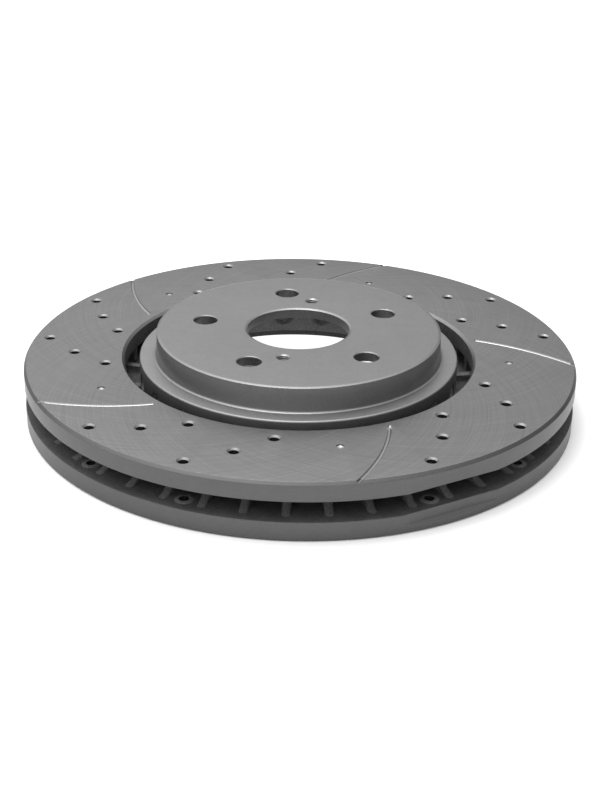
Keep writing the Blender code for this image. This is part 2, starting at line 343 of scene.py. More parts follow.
# %% Cross-hatched grinding arcs
GRINDING_LEAN = 12.0       # radians of turn for each metre of radius
ARC_LENGTH = 30 * MM
WIDE_ARC = 1.1 * MM
FINE_ARC = 0.5 * MM
ARC_CONTRAST = 0.14
FAN_SIZE = 40 * MM
FAN_CONTRAST = 0.1
GRAIN_SIZE = 0.5 * MM
GROUND_BRIGHTNESS = (0.15, 0.226)
GROUND_ROUGHNESS = (0.33, 0.39)
GROUND_RELIEF = 0.012 * MM


def grinding_arcs(tree, place, lean, width):
    """Streaks of about one width that lean round the axis, from 0 to 1."""
    radius, bearing = round_the_axis(tree, place)[:2]
    turned_by = times(tree, radius, lean)
    leaning = put(tree, "VectorRotate", {"Vector": bearing, "Angle": turned_by}, rotation_type="Z_AXIS")
    middle_radius = (DISC_RADIUS + FLANGE_RADIUS) / 2
    angular_width = width / middle_radius
    along = times(tree, radius, angular_width / ARC_LENGTH)
    lift = put(tree, "CombineXYZ", {"Z": along}).outputs["Vector"]
    joined = put(tree, "VectorMath", {0: leaning.outputs["Vector"], 1: lift}, operation="ADD")
    return speckle(tree, joined.outputs["Vector"], angular_width, detail=3.0)


def ground_finish():
    """Bright ground iron with crossing arcs, for the friction faces."""
    material, tree, shader, place = start_finish("ground_iron", metallic=1.0, specular=0.5)
    wide_in = grinding_arcs(tree, place, GRINDING_LEAN, WIDE_ARC)
    wide_out = grinding_arcs(tree, place, -GRINDING_LEAN, WIDE_ARC)
    fine_in = grinding_arcs(tree, place, GRINDING_LEAN, FINE_ARC)
    fine_out = grinding_arcs(tree, place, -GRINDING_LEAN, FINE_ARC)
    fans = speckle(tree, place, FAN_SIZE, detail=1.0)
    grain = speckle(tree, place, GRAIN_SIZE)
    crossing = times(tree, vary(tree, wide_in, ARC_CONTRAST), vary(tree, wide_out, ARC_CONTRAST))
    brightness = times(tree, crossing, remap(tree, grain, *GROUND_BRIGHTNESS))
    roughness = times(tree, vary(tree, fans, FAN_CONTRAST), remap(tree, fine_in, *GROUND_ROUGHNESS))
    join_finish(tree, shader, brightness, roughness, plus(tree, fine_in, fine_out), GROUND_RELIEF)
    return material


GROUND = ground_finish()
print("ground finish has", len(GROUND.node_tree.nodes), "nodes")

# %% [markdown]
# ## The flake coat
# The hat, the flange and the rims carry a thin grey coat of metal flakes against rust.  It is even in
# colour but not smooth: flakes and the turned metal below give a fine grain, and faint turning marks
# run round the axis.  One function makes it in several versions that differ in brightness and in how
# matt they are: bright on the hat, matt on the neck, darkened as painted shade on the rims and on the
# walls of the bore and the bolt holes, and shiny where a cutter has gone through it, as bare cut metal
# whose extra brightness is a painted highlight.

# %% Flake coat with turning marks
TURNING_PITCH = 0.35 * MM
FLAKE_SIZE = 0.55 * MM
FLAKE_CONTRAST = 0.16
MOTTLE_SIZE = 9 * MM
MOTTLE_CONTRAST = 0.03
MARK_CONTRAST = 0.015
FLAKE_ROUGHNESS = 0.04     # how much single flakes differ in roughness
COAT_RELIEF = 0.02 * MM


def turning_marks(tree, place):
    """Fine grooves round the axis, left by the lathe tool, on flat and upright faces alike."""
    radius, bearing, height = round_the_axis(tree, place)
    section = put(tree, "CombineXYZ", {"X": radius, "Y": height}).outputs["Vector"]
    slow_change = put(tree, "VectorMath", {0: bearing, "Scale": TURNING_PITCH}, operation="SCALE")
    joined = put(tree, "VectorMath", {0: section, 1: slow_change.outputs["Vector"]}, operation="ADD")
    return speckle(tree, joined.outputs["Vector"], TURNING_PITCH, detail=1.0)


def coat_finish(name, brightness, roughness):
    """A grey flake coat over turned metal."""
    material, tree, shader, place = start_finish(name, metallic=1.0, specular=0.5)
    flakes = speckle(tree, place, FLAKE_SIZE, detail=3.0)
    mottle = speckle(tree, place, MOTTLE_SIZE)
    marks = turning_marks(tree, place)
    even = times(tree, vary(tree, mottle, MOTTLE_CONTRAST), vary(tree, marks, MARK_CONTRAST))
    dark_flake = (1 - FLAKE_CONTRAST) * brightness
    light_flake = (1 + FLAKE_CONTRAST) * brightness
    shade = times(tree, even, remap(tree, flakes, dark_flake, light_flake))
    matt = remap(tree, flakes, roughness - FLAKE_ROUGHNESS, roughness + FLAKE_ROUGHNESS)
    join_finish(tree, shader, shade, matt, plus(tree, flakes, marks), COAT_RELIEF)
    return material


COAT = coat_finish("flake_coat", 0.235, 0.34)
# Darker copy of the coat: painted shade on the upright rims.
RIM_COAT_PAINTED_SHADE = coat_finish("rim_coat_painted_shade", 0.113, 0.42)
NECK_COAT = coat_finish("neck_coat", 0.24, 0.5)
# Darker copy of the coat: painted shade on the walls of the bore and the bolt holes.
HOLE_WALL_PAINTED_SHADE = coat_finish("hole_wall_painted_shade", 0.17, 0.45)
# Shinier bare metal for slots and dimples, made brighter than the ground face as a painted highlight.
FRESH_CUT_PAINTED_HIGHLIGHT = coat_finish("fresh_cut_painted_highlight", 0.32, 0.22)
print("coats:", COAT.name, RIM_COAT_PAINTED_SHADE.name, NECK_COAT.name, HOLE_WALL_PAINTED_SHADE.name, FRESH_CUT_PAINTED_HIGHLIGHT.name)

# %% [markdown]
# ## The raw casting
# Inside the vents nothing is machined.  The skin there copies the sand core: dark, dull and pitted.
# Grains of two sizes and small round pits make the relief, and darker and lighter patches stand for
# scale and dust.  The skin comes in three versions that differ only in brightness: darkest on the flat
# walls of the vent, as painted shade deep in the vents, lighter on the ends of the vanes and the bosses,
# as painted light, and lightest inside the hat.

# %% Sand-cast skin
SAND_SIZE = 0.9 * MM
LUMP_SIZE = 3.5 * MM
SCALE_SIZE = 14 * MM
PIT_SIZE = 1.1 * MM
PIT_SHARE = 0.4
SAND_CONTRAST = 0.3
SCALE_CONTRAST = 0.15
CAST_ROUGHNESS = (0.62, 0.82)
CAST_RELIEF = 0.25 * MM


def casting_finish(name, brightness):
    """Dark rough iron with a sandy relief."""
    material, tree, shader, place = start_finish(name, metallic=0.3, specular=0.35)
    sand = speckle(tree, place, SAND_SIZE, detail=4.0)
    lumps = speckle(tree, place, LUMP_SIZE)
    scale = speckle(tree, place, SCALE_SIZE)
    cells = put(tree, "TexVoronoi", {"Vector": place, "Scale": 1.0 / PIT_SIZE})
    patches = times(tree, vary(tree, sand, SAND_CONTRAST), vary(tree, scale, SCALE_CONTRAST))
    shade = times(tree, patches, brightness)
    matt = remap(tree, lumps, *CAST_ROUGHNESS)
    pits = times(tree, cells.outputs["Distance"], PIT_SHARE)
    relief = plus(tree, plus(tree, sand, lumps), pits)
    join_finish(tree, shader, shade, matt, relief, CAST_RELIEF)
    return material


# Darkest copy of the cast skin: painted shade on the vent walls, roof and floor.
RAW_IRON_PAINTED_SHADE = casting_finish("raw_iron_painted_shade", 0.075)
# Lighter copy of the cast skin: painted light on the vane ends and the bosses.
VANE_IRON_PAINTED_LIGHT = casting_finish("vane_iron_painted_light", 0.135)
INNER_IRON = casting_finish("inner_iron", 0.21)
print("casting finishes:", RAW_IRON_PAINTED_SHADE.name, VANE_IRON_PAINTED_LIGHT.name, INNER_IRON.name)

# %% [markdown]
# ## Dressing and mounting a piece
# One piece can show several finishes: a friction ring is ground on its face, coated on its rim and
# raw inside.  The finish follows from where a face lies and which way it looks, so a small rule picks
# it for each face.  Mounting then fixes the piece to the frame's body and hides the regions it stands for.

# %% Choose finishes face by face, then mount
def dress(piece, finishes, choose):
    """Give each face the finish that choose(centre, normal) names by its index."""
    mesh = piece.data
    mesh.materials.clear()
    for finish in finishes:
        mesh.materials.append(finish)
    for face in mesh.polygons:
        face.material_index = choose(face.center, face.normal)
    mesh.shade_smooth()
    mesh.set_sharp_from_angle(angle=SHARP_ANGLE)


def mount(piece, slot, *nodes):
    """Fix a finished piece to the part's one body, in place of the regions it stands for."""
    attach(piece, "root")
    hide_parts(*nodes)
    ALL_PIECES.append(piece)
    print("mounted", piece.name, "for", len(nodes), "region(s),", len(piece.data.polygons), "faces")


# %% [markdown]
# ## The outboard friction ring
# The wheel-side ring is a flat washer 11 mm thick.  Its inner edge has a ground chamfer, and its outer
# edge a wider one that guides the pads on.  Thirty drilled holes in ten stepped groups of three let
# gas and water out from under the pads.

# %% Turn the outboard ring
RING_INNER_RADIUS = 104.3 * MM
FACE_INNER_RADIUS = 105.8 * MM
RIM_CHAMFER = 1.6 * MM
INNER_CHAMFER = FACE_INNER_RADIUS - RING_INNER_RADIUS
MACHINED_ROUND = 0.2 * MM
FACE_EDGE_ROUND = 0.15 * MM
RIM_EDGE_ROUND = 0.25 * MM
VENT_EDGE_ROUND = 0.4 * MM
AIR_INLET_ROUND = 0.5 * MM

outboard_ring = turned("outboard_ring", [
    (RING_INNER_RADIUS, VENT_ROOF, AIR_INLET_ROUND),
    (RING_INNER_RADIUS, FACE_HEIGHT - INNER_CHAMFER, MACHINED_ROUND),
    (FACE_INNER_RADIUS, FACE_HEIGHT, MACHINED_ROUND),
    (DISC_RADIUS - RIM_CHAMFER, FACE_HEIGHT, FACE_EDGE_ROUND),
    (DISC_RADIUS, FACE_HEIGHT - RIM_CHAMFER, RIM_EDGE_ROUND),
    (DISC_RADIUS, VENT_ROOF, VENT_EDGE_ROUND),
])
print("outboard ring turned:", len(outboard_ring.data.polygons), "faces")

# %% [markdown]
# ## Drilled holes with countersinks
# Each hole is drilled through both rings in one stroke and then countersunk, because a sharp hole edge
# would crack in use.  The tool here has both: a straight drill whose radius widens to the countersink
# at the face.

# %% The drilling pattern
HOLE_RADIUS = 2.75 * MM
COUNTERSINK_RADIUS = 3.7 * MM
HOLE_ROWS = (153.5 * MM, 134.5 * MM, 115.7 * MM)
GROUP_STARTS = (0, 3, 9, 12, 18, 21, 27, 30, 35, 38)


def hole_places():
    """Radius and angle of every drilled hole; each group steps inward by one channel a row."""
    places = []
    for start in GROUP_STARTS:
        for row, radius in enumerate(HOLE_ROWS):
            places.append((radius, channel_angle(start + row)))
    return places


def add_face_drills(mesh_data, face, vent, outward):
    """Drills from the vent out through one friction face, with the countersink at the face."""
    thickness = abs(face - vent)
    sink = COUNTERSINK_RADIUS - HOLE_RADIUS
    profile = [
        (-CLEARANCE, HOLE_RADIUS),
        (thickness - sink, HOLE_RADIUS),
        (thickness, COUNTERSINK_RADIUS),
        (thickness + CLEARANCE, COUNTERSINK_RADIUS + CLEARANCE),
    ]
    for radius, degrees in hole_places():
        add_drill(mesh_data, polar(radius, degrees, vent), UP * outward, profile)


drills = bmesh.new()
add_face_drills(drills, FACE_HEIGHT, VENT_ROOF, 1)
machine(outboard_ring, drills)
print("holes in each ring:", len(hole_places()))

# %% [markdown]
# ## Slots and wear dimples
# Five curved slots sweep dust off the pads.  A ball-nosed cutter makes them: round at the bottom,
# round at the inner end, running out through the rim chamfer.  The line is straight in angle against
# radius, which bends it like a scythe.  Five shallow drill marks between them show how far the face
# has worn: when a mark is gone, so is the disc.  Each has a short straight wall and a cone below.

# %% Cut slots and dimples
SLOT_ENDS = (9, 18, 27, 35, 44)
SLOT_CHANNELS = 2
SLOT_INNER_RADIUS = 110.5 * MM
SLOT_HALF_WIDTH = 1.2 * MM
SLOT_DEPTH = 1.0 * MM
SLOT_STEPS = 24
NOSE_STEPS = 6
BALL_SHARES = (0.15, 0.4, 0.62, 0.82, 1.0)
DIMPLE_CHANNELS = (7, 16, 25, 33, 42)
DIMPLE_CIRCLE = 125.2 * MM
DIMPLE_RADIUS = 2.3 * MM
DIMPLE_STEP = 0.7 * MM
DIMPLE_DEPTH = 1.7 * MM
DIMPLE_TIP = 0.05 * MM


def slot_point(end_channel, share):
    """A point of the slot's middle line, from 0 at its inner end to 1 past the rim."""
    outer_radius = DISC_RADIUS + CLEARANCE
    radius = SLOT_INNER_RADIUS + share * (outer_radius - SLOT_INNER_RADIUS)
    return polar(radius, channel_angle(end_channel - share * SLOT_CHANNELS))


def slot_outline(end_channel, half_width, height):
    """The slot's footprint at one height: two sides joined by a round nose."""
    line = [slot_point(end_channel, step / SLOT_STEPS) for step in range(SLOT_STEPS + 1)]
    sides = []
    for index, point in enumerate(line):
        ahead = line[min(index + 1, SLOT_STEPS)] - line[max(index - 1, 0)]
        sides.append(UP.cross(ahead).normalized() * half_width)
    left = [point + side for point, side in zip(line, sides)]
    right = [point - side for point, side in zip(line, sides)]
    nose = []
    for step in range(1, NOSE_STEPS):
        turn = Matrix.Rotation(math.pi * step / NOSE_STEPS, 3, "Z")
        nose.append(line[0] + turn @ sides[0])
    outline = list(reversed(left)) + nose + right
    return [point + UP * height for point in outline]


def add_slot(mesh_data, end_channel):
    """A ball-nosed slot cutter that goes in less deep than its own radius."""
    ball_radius = (SLOT_HALF_WIDTH ** 2 + SLOT_DEPTH ** 2) / (2 * SLOT_DEPTH)
    ball_height = FACE_HEIGHT - SLOT_DEPTH + ball_radius
    loops = []
    for share in BALL_SHARES:
        half_width = share * SLOT_HALF_WIDTH
        height = ball_height - math.sqrt(ball_radius ** 2 - half_width ** 2)
        loops.append(slot_outline(end_channel, half_width, height))
    loops.append(slot_outline(end_channel, SLOT_HALF_WIDTH, FACE_HEIGHT + CLEARANCE))
    stack_loops(mesh_data, loops)


grooves = bmesh.new()
for slot_end in SLOT_ENDS:
    add_slot(grooves, slot_end)
for dimple_channel in DIMPLE_CHANNELS:
    centre = polar(DIMPLE_CIRCLE, channel_angle(dimple_channel), FACE_HEIGHT)
    add_drill(grooves, centre, UP, [
        (-DIMPLE_DEPTH, DIMPLE_TIP),
        (-DIMPLE_STEP, DIMPLE_RADIUS),
        (CLEARANCE, DIMPLE_RADIUS),
    ])
machine(outboard_ring, grooves)

# %% [markdown]
# ## Balance milling
# A casting is never quite even, so each disc is spun and then milled where it is heavy.  On this one a
# flat runs across the rims of both rings.  The upper cut stops just under the face chamfer, and the
# lower one leans inward so that a thin crescent is left above the bottom edge.

# %% Mill the rim of the outboard ring
BALANCE_ANGLE = 300.1
BALANCE_HALF_ANGLE = 10.3
BALANCE_TOP = 30.4 * MM
BALANCE_REACH = DISC_RADIUS * math.cos(math.radians(BALANCE_HALF_ANGLE))


def add_balance_cutter(mesh_data, section):
    """A bar across the rim from its section of (distance from the axis, height)."""
    outward = polar(1.0, BALANCE_ANGLE)
    sideways = UP.cross(outward)
    half_length = DISC_RADIUS / 2
    loops = []
    for shift in (-half_length, half_length):
        loops.append([outward * reach + UP * height + sideways * shift for reach, height in section])
    stack_loops(mesh_data, loops)


far = DISC_RADIUS + CLEARANCE
milling = bmesh.new()
add_balance_cutter(milling, [
    (BALANCE_REACH, VENT_ROOF - CLEARANCE),
    (far, VENT_ROOF - CLEARANCE),
    (far, BALANCE_TOP),
    (BALANCE_REACH, BALANCE_TOP),
])
machine(outboard_ring, milling)

# %% [markdown]
# ## Finishing the outboard ring
# Grinding comes last on the real ring, after the coat, so the face is bare and bright while the rim keeps
# its coat and the underside stays as cast.  Painting masks could do this in one material.  Here each
# face of the mesh simply gets a finish by its place, which stays right when a size changes.

# %% Dress and mount the outboard ring
NEARLY_LEVEL = 0.9         # a face whose normal points up or down this much
HOLE_SPOTS = [polar(radius, degrees).xy for radius, degrees in hole_places()]
SKIN = 0.05 * MM           # how near a face must be to count as lying on a wall
RIM_BAND = 3 * MM          # the coat covers this much of the ring's outer edge


def outboard_rule(centre, normal):
    """0 ground face, 1 coated rim with painted shade, 2 raw vent roof with painted shade, 3 drilled holes,
    4 slots and dimples with a painted highlight.
    """
    radius = centre.xy.length
    if normal.z > NEARLY_LEVEL and centre.z > FACE_HEIGHT - SKIN:
        return 0
    if radius > DISC_RADIUS - RIM_BAND:
        return 1
    if normal.z < -NEARLY_LEVEL or radius < RING_INNER_RADIUS + SKIN:
        return 2
    if min((centre.xy - spot).length for spot in HOLE_SPOTS) < COUNTERSINK_RADIUS + SKIN:
        return 3
    return 4 if radius > FACE_INNER_RADIUS + SKIN else 3


dress(outboard_ring, (GROUND, RIM_COAT_PAINTED_SHADE, RAW_IRON_PAINTED_SHADE, COAT, FRESH_CUT_PAINTED_HIGHLIGHT), outboard_rule)
mount(outboard_ring, "ground_face", "outboard_plate")

# %% [markdown]
# ## The inboard friction ring
# The hub-side ring mirrors the outboard one but reaches further in, because the neck stands on its
# inner edge.  Round each drilled hole the vent floor rises in a low boss, so that the drill leaves
# more metal there.  The bosses are added first and the holes then go through ring and boss together.

# %% Turn the inboard ring, add bosses, drill and mill
NECK_INNER_RADIUS = 86.6 * MM
EDGE_CHAMFER = 1.0 * MM
RELIEF_DEPTH = 5.0 * MM
RELIEF_INNER_DEPTH = 8.0 * MM
RELIEF_ROUND = 2.0 * MM
BOSS_RADIUS = 5.2 * MM
BOSS_HEIGHT = 0.5 * MM
BOSS_STEP = 0.7            # the boss falls off in two slopes, as shares of its height and radius
BOSS_STEP_WIDTH = 0.88
BOSS_TOP_WIDTH = 0.72

inboard_ring = turned("inboard_ring", [
    (NECK_INNER_RADIUS, VENT_FLOOR, 0),
    (NECK_INNER_RADIUS, RELIEF_INNER_DEPTH, VENT_EDGE_ROUND),
    (RING_INNER_RADIUS - EDGE_CHAMFER, RELIEF_DEPTH, RELIEF_ROUND),
    (RING_INNER_RADIUS, EDGE_CHAMFER, MACHINED_ROUND),
    (RING_INNER_RADIUS + EDGE_CHAMFER, 0.0, MACHINED_ROUND),
    (DISC_RADIUS - EDGE_CHAMFER, 0.0, MACHINED_ROUND),
    (DISC_RADIUS, EDGE_CHAMFER, MACHINED_ROUND),
    (DISC_RADIUS, VENT_FLOOR, VENT_EDGE_ROUND),
])
bosses = bmesh.new()
for boss_radius, boss_angle in hole_places():
    add_drill(bosses, polar(boss_radius, boss_angle, VENT_FLOOR), UP, [
        (-CLEARANCE, BOSS_RADIUS),
        (0.0, BOSS_RADIUS),
        (BOSS_STEP * BOSS_HEIGHT, BOSS_STEP_WIDTH * BOSS_RADIUS),
        (BOSS_HEIGHT, BOSS_TOP_WIDTH * BOSS_RADIUS),
    ])
machine(inboard_ring, bosses, "UNION")
lower_drills = bmesh.new()
add_face_drills(lower_drills, 0.0, VENT_FLOOR + BOSS_HEIGHT, -1)
machine(inboard_ring, lower_drills)

# %% [markdown]
# ## The lower balance cut
# The same milling cutter also takes a flat off the inboard rim.  Its lower side slopes inward, so the
# flat meets the round rim in a curve and leaves a crescent.  The bar-shaped tool is used again, with a
# section that has a sloping bottom.

# %% Mill and mount the inboard ring
LOWER_FLAT = 5.4 * MM
LOWER_EDGE = 3.4 * MM

lower_slope = (LOWER_FLAT - LOWER_EDGE) / (DISC_RADIUS - BALANCE_REACH)
lower_milling = bmesh.new()
add_balance_cutter(lower_milling, [
    (BALANCE_REACH, LOWER_FLAT),
    (far, LOWER_FLAT - lower_slope * (far - BALANCE_REACH)),
    (far, VENT_FLOOR + CLEARANCE),
    (BALANCE_REACH, VENT_FLOOR + CLEARANCE),
])
machine(inboard_ring, lower_milling)


def inboard_rule(centre, normal):
    """0 ground face, 1 coated rim with painted shade, 2 raw vent floor and relief with painted shade, 3
    drilled holes, 4 bosses with painted light.
    """
    radius = centre.xy.length
    if normal.z < -NEARLY_LEVEL and centre.z < SKIN:
        return 0
    if centre.z > VENT_FLOOR + SKIN:
        return 4
    if radius > DISC_RADIUS - RIM_BAND:
        return 1 if centre.z < VENT_FLOOR - SKIN else 2
    if centre.z > VENT_FLOOR - SKIN or radius < RING_INNER_RADIUS + SKIN:
        return 2
    return 3


dress(inboard_ring, (GROUND, RIM_COAT_PAINTED_SHADE, RAW_IRON_PAINTED_SHADE, COAT, VANE_IRON_PAINTED_LIGHT), inboard_rule)
mount(inboard_ring, "ground_face", "inboard_plate")

# %% [markdown]
# ## The vanes
# Forty-four vanes join the rings and pump air out from the middle.  The core box gives them drafted
# sides, round fillets into both rings and hollow outer ends, and every second vane goes on inward as a
# low rib to the neck.  Flat plates would look like sheet metal, so each vane is a stack of rounded
# loops whose width and length change with height, and the skin is then pushed about by noise like a
# surface that came out of sand.

# %% Shape of one vane
VANE_HALF_WIDTH = 2.45 * MM
VANE_INNER_RADIUS = 107.6 * MM
VANE_FOOT_RADIUS = 158.8 * MM
VANE_WAIST_RADIUS = 149.2 * MM
FILLET = 1.3 * MM
FOOT_WIDTH_SHARE = 0.85    # the foot is narrower than the middle, and the head is wider
DRAFT = 0.3
FOOT_FLARE_SHARE = 0.35    # the lower fillet is smaller than the upper one
HOLLOW_BLUNTNESS = 0.8     # below 1 the hollow outer end is flatter in its middle
RIB_TOP = 15.6 * MM
RIB_OVERLAP = 0.3 * MM
RIB_INNER_RADIUS = FLANGE_RADIUS - RIB_OVERLAP
SINK = 0.2 * MM            # how far a vane reaches into the rings, so that no gap shows
VANE_LEVELS = 18
SIDE_STEPS = 22
END_STEPS = 8
SAND_RELIEF = 0.22 * MM
COARSE_SAND = 3.0 * MM
FINE_SAND = 1.2 * MM
FINE_SHARE = 0.5


def vane_half_width(share):
    """Half the thickness at a height from 0 at the vent floor to 1 at its roof."""
    height = VENT_ROOF - VENT_FLOOR
    from_wall = min(share, 1 - share) * height
    flare = max(0.0, 1 - from_wall / FILLET) ** 2 * FILLET
    drafted = VANE_HALF_WIDTH * (FOOT_WIDTH_SHARE + DRAFT * share)
    return drafted + flare * (FOOT_FLARE_SHARE + (1 - FOOT_FLARE_SHARE) * share)


def vane_reach(share, has_rib):
    """Inner and outer radius of the vane at a height."""
    height = VENT_FLOOR + share * (VENT_ROOF - VENT_FLOOR)
    hollow = math.sin(math.pi * share) ** HOLLOW_BLUNTNESS
    outer = VANE_FOOT_RADIUS - (VANE_FOOT_RADIUS - VANE_WAIST_RADIUS) * hollow
    inner = RIB_INNER_RADIUS if has_rib and height < RIB_TOP else VANE_INNER_RADIUS
    return inner, outer


def vane_loop(share, has_rib):
    """One level of the vane, seen from above: straight sides, a round nose and a blunt tail."""
    half_width = vane_half_width(share)
    inner, outer = vane_reach(share, has_rib)
    height = VENT_FLOOR - SINK + share * (VENT_ROOF - VENT_FLOOR + 2 * SINK)
    nose_centre = outer - half_width
    loop = []
    for step in range(SIDE_STEPS):
        along = inner + (nose_centre - inner) * step / SIDE_STEPS
        loop.append(Vector((along, -half_width, height)))
    for step in range(END_STEPS):
        angle = math.pi * (step / END_STEPS - 0.5)
        across = half_width * math.sin(angle)
        loop.append(Vector((nose_centre + half_width * math.cos(angle), across, height)))
    for step in range(SIDE_STEPS + 1):
        along = nose_centre + (inner - nose_centre) * step / SIDE_STEPS
        loop.append(Vector((along, half_width, height)))
    return loop


def push_by_sand(point):
    """Move a point of a cast skin by noise of two sizes."""
    coarse = noise.noise_vector(point / COARSE_SAND)
    fine = noise.noise_vector(point / FINE_SAND)
    return point + (coarse + FINE_SHARE * fine) * SAND_RELIEF


# %% [markdown]
# ## Casting all forty-four
# The core print repeats round the axis, so one function builds a vane at any number.  The noise is read
# at each vane's own place, and so no two vanes come out alike, as in sand.

# %% Cast, dress and mount the vanes
def cast_vane(number):
    """Build one vane at its place between the rings."""
    has_rib = number % 2 == 0
    turn = Matrix.Rotation(math.radians(channel_angle(number - 0.5)), 3, "Z")
    loops = []
    for level in range(VANE_LEVELS + 1):
        shape = vane_loop(level / VANE_LEVELS, has_rib)
        loops.append([push_by_sand(turn @ point) for point in shape])
    mesh_data = bmesh.new()
    stack_loops(mesh_data, loops)
    return make_piece(f"cast_vane_{number:02d}", mesh_data)


for vane_number in range(1, CHANNEL_COUNT + 1):
    vane = cast_vane(vane_number)
    # The vanes get the lighter copy of the cast skin, painted light on their ends.
    dress(vane, (VANE_IRON_PAINTED_LIGHT,), lambda centre, normal: 0)
    mount(vane, "cast_iron", f"vane_{vane_number:02d}")

# %% [markdown]
# ## The neck
# Between hat and inboard ring stands a short wall with a flange on top, level with the friction face
# but clear of it by a gap all round.  Twenty-two holes, one for every second channel, feed air from
# inside the hat.  Their edges are rounded by the casting core, so the tool flares at both ends.

# %% Turn the neck and open its air holes
NECK_HOLE_COUNT = CHANNEL_COUNT // 2
NECK_HOLE_RADIUS = 5.0 * MM
NECK_HOLE_HEIGHT = 22.0 * MM
NECK_HOLE_FLARE = 1.6 * MM
INLET_CURVE = ((0.0, 1.0), (0.2, 0.5), (0.6, 0.15), (1.0, 0.0))
OUTLET_LENGTH = 0.5 * NECK_HOLE_FLARE
OUTLET_FLARE = 0.4 * NECK_HOLE_FLARE
FLANGE_UNDERSIDE = 30.0 * MM
FLANGE_ROUND = 1.1 * MM
INSIDE_ROUND = 3.0 * MM
OUTER_COAT = 1.2 * MM      # the coat reaches this far into the air holes
HAT_INNER_RADIUS = 78.0 * MM
EMBED = 0.4 * MM           # overlap of neck and hat, hidden in the metal

neck_wall = turned("neck_wall", [
    (HAT_INNER_RADIUS + EMBED, FACE_HEIGHT, 0),
    (HAT_FOOT_RADIUS, FACE_HEIGHT, 0),
    (FLANGE_RADIUS, FACE_HEIGHT, FLANGE_ROUND),
    (FLANGE_RADIUS, VENT_FLOOR - SINK, 0),
    (NECK_INNER_RADIUS, VENT_FLOOR - SINK, 0),
    (NECK_INNER_RADIUS, FLANGE_UNDERSIDE, INSIDE_ROUND),
    (HAT_INNER_RADIUS + EMBED, FLANGE_UNDERSIDE, 0),
])
wall_thickness = FLANGE_RADIUS - NECK_INNER_RADIUS
flare_profile = [(-CLEARANCE, NECK_HOLE_RADIUS + 2 * NECK_HOLE_FLARE)]
for depth_share, width_share in INLET_CURVE:
    wider = width_share * NECK_HOLE_FLARE
    flare_profile.append((depth_share * NECK_HOLE_FLARE, NECK_HOLE_RADIUS + wider))
flare_profile.append((wall_thickness - OUTLET_LENGTH, NECK_HOLE_RADIUS))
flare_profile.append((wall_thickness, NECK_HOLE_RADIUS + OUTLET_FLARE))
flare_profile.append((wall_thickness + CLEARANCE, NECK_HOLE_RADIUS + NECK_HOLE_FLARE))

air_holes = bmesh.new()
for hole_number in range(NECK_HOLE_COUNT):
    hole_angle = channel_angle(0.5) + hole_number * 360.0 / NECK_HOLE_COUNT
    inner_end = polar(NECK_INNER_RADIUS, hole_angle, NECK_HOLE_HEIGHT)
    add_drill(air_holes, inner_end, polar(1.0, hole_angle), flare_profile)
machine(neck_wall, air_holes)


def neck_rule(centre, normal):
    """0 coated outer side and flange, 1 raw inner wall and air holes."""
    below_flange = centre.z < FLANGE_UNDERSIDE + SKIN
    return 1 if below_flange and centre.xy.length < FLANGE_RADIUS - OUTER_COAT else 0


dress(neck_wall, (NECK_COAT, INNER_IRON), neck_rule)
mount(neck_wall, "coated_hat", "neck")

# %% [markdown]
# ## The hat
# The hat is a 6 mm plate with a short drafted wall.  The bore centres it on the hub, five plain holes
# take the wheel studs, and two small threaded holes let a mechanic press the disc off with screws.
# Its outer corner and the bore have wide, shallow edge breaks, which show as thin bright lines, and its
# foot runs into the flange with a small fillet.

# %% Turn the hat
HAT_TOP_RADIUS = 83.1 * MM
HAT_WALL_TOP_RADIUS = 84.6 * MM
HAT_WALL_FOOT_RADIUS = 85.1 * MM
HAT_WALL_DRAFT = 1.0 * MM
HAT_EMBED = 1.0 * MM       # the hat's foot stands this deep in the flange
HAT_PLATE = 6.0 * MM
BORE_RADIUS = 30.5 * MM
BORE_CHAMFER = 1.4 * MM
BORE_UNDER_CHAMFER = 0.4 * MM
FOOT_FILLET = 0.98 * (HAT_FOOT_RADIUS - HAT_WALL_FOOT_RADIUS)
PLATE_UNDERSIDE = DISC_HEIGHT - HAT_PLATE
HAT_EDGE_DROP = 0.45 * MM
HAT_FACE_ROUND = 0.3 * MM
HAT_CORNER_ROUND = 0.12 * MM
BORE_EDGE_ROUND = 0.1 * MM
BORE_CHAMFER_DEPTH = 0.6 * MM

hat_shell = turned("hat_shell", [
    (BORE_RADIUS + BORE_CHAMFER, DISC_HEIGHT, FACE_EDGE_ROUND),
    (HAT_TOP_RADIUS, DISC_HEIGHT, HAT_FACE_ROUND),
    (HAT_WALL_TOP_RADIUS, DISC_HEIGHT - HAT_EDGE_DROP, HAT_CORNER_ROUND),
    (HAT_WALL_FOOT_RADIUS, FACE_HEIGHT, FOOT_FILLET),
    (HAT_FOOT_RADIUS, FACE_HEIGHT, 0),
    (HAT_FOOT_RADIUS, FACE_HEIGHT - HAT_EMBED, 0),
    (HAT_INNER_RADIUS, FACE_HEIGHT - HAT_EMBED, 0),
    (HAT_INNER_RADIUS - HAT_WALL_DRAFT, PLATE_UNDERSIDE, INSIDE_ROUND),
    (BORE_RADIUS + BORE_UNDER_CHAMFER, PLATE_UNDERSIDE, MACHINED_ROUND),
    (BORE_RADIUS, PLATE_UNDERSIDE + BORE_UNDER_CHAMFER, BORE_EDGE_ROUND),
    (BORE_RADIUS, DISC_HEIGHT - BORE_CHAMFER_DEPTH, FACE_EDGE_ROUND),
])
print("hat turned:", len(hat_shell.data.polygons), "faces")

# %% [markdown]
# ## Stud holes and jacking threads
# The stud holes are plain, with a small countersink at each end.  The jacking holes have an M8 thread.  At
# this size a thread reads as a stack of sharp ridges, so its tool is a drill with a saw-tooth profile
# of the real pitch, and a countersink on each end.

